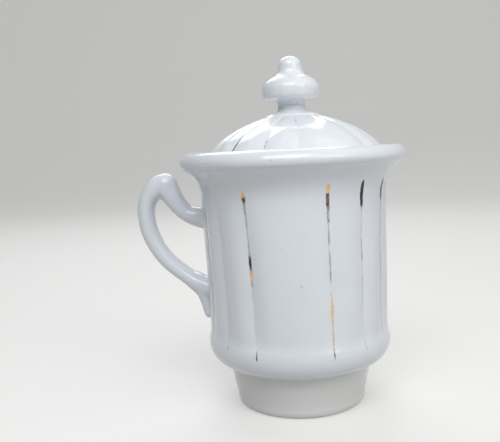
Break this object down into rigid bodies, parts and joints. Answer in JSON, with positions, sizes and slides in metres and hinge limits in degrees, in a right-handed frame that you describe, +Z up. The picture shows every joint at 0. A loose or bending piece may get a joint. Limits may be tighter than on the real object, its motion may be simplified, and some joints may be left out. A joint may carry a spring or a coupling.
{
  "type": "coffee dripper",
  "caption": "Lobed porcelain coffee dripper with a flared lip, loop handle, spigot foot with a strainer floor, loose water spreader and domed lid with a turned knob.",
  "frame": {"origin": "on the table, under the middle of the outer box; the vessel's own axis stands 14.2 mm from it towards +X", "axes": "+Z up along the vessel's axis, -X towards the handle, -Y the front, at the middle of a wide panel"},
  "size_m": [0.1522, 0.1238, 0.1911],
  "materials": {
    "body_glaze": "gloss",
    "foot_glaze": "satin gloss",
    "loose_glaze": "gloss",
    "lid_glaze": "gloss"
  },
  "bodies": {
    "vessel": {"dripper_body": "body_glaze", "foot_spigot": "foot_glaze", "strainer_floor": "foot_glaze", "handle": "body_glaze"},
    "spreader": {"water_spreader": "loose_glaze", "spreader_knob": "loose_glaze"},
    "cover": {"lid": "lid_glaze", "lid_knob": "lid_glaze"}
  },
  "joints": [
    {"name": "lid_lift", "type": "slide", "parent": "vessel", "child": "cover", "axis": [0, 0, 1], "range_m": [0, 0.16]},
    {"name": "spreader_lift", "type": "slide", "parent": "vessel", "child": "spreader", "axis": [0, 0, 1], "range_m": [0, 0.12]}
  ],
  "couplings": [
    {"joint": "spreader_lift", "follows": "lid_lift", "ratio": 0.75}
  ]
}
